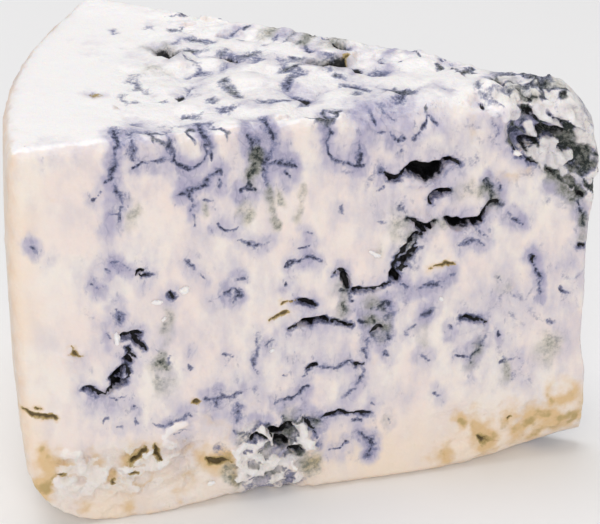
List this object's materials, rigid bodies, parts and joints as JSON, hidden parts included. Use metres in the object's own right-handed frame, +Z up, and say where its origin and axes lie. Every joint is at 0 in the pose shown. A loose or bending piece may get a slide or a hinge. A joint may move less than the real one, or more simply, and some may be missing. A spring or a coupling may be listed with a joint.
{
  "type": "cheese wedge",
  "caption": "Wedge of blue-veined soft cheese cut from a half-height drum, with a rounded rind heel, open mould-lined fissures and a crumbled thin end.",
  "frame": {"origin": "centre of the bounding box's bottom face, on the flat rind side that the wedge stands on", "axes": "+X along the wedge's middle from the rind to the thin end, +Z up, front cut face towards -Y"},
  "size_m": [0.0942, 0.0642, 0.068],
  "materials": {
    "blue_cheese": "moist creamy paste with blue-grey mould veins and a pale straw rind"
  },
  "bodies": {
    "root": {"cheese_wedge": "blue_cheese"}
  },
  "joints": []
}
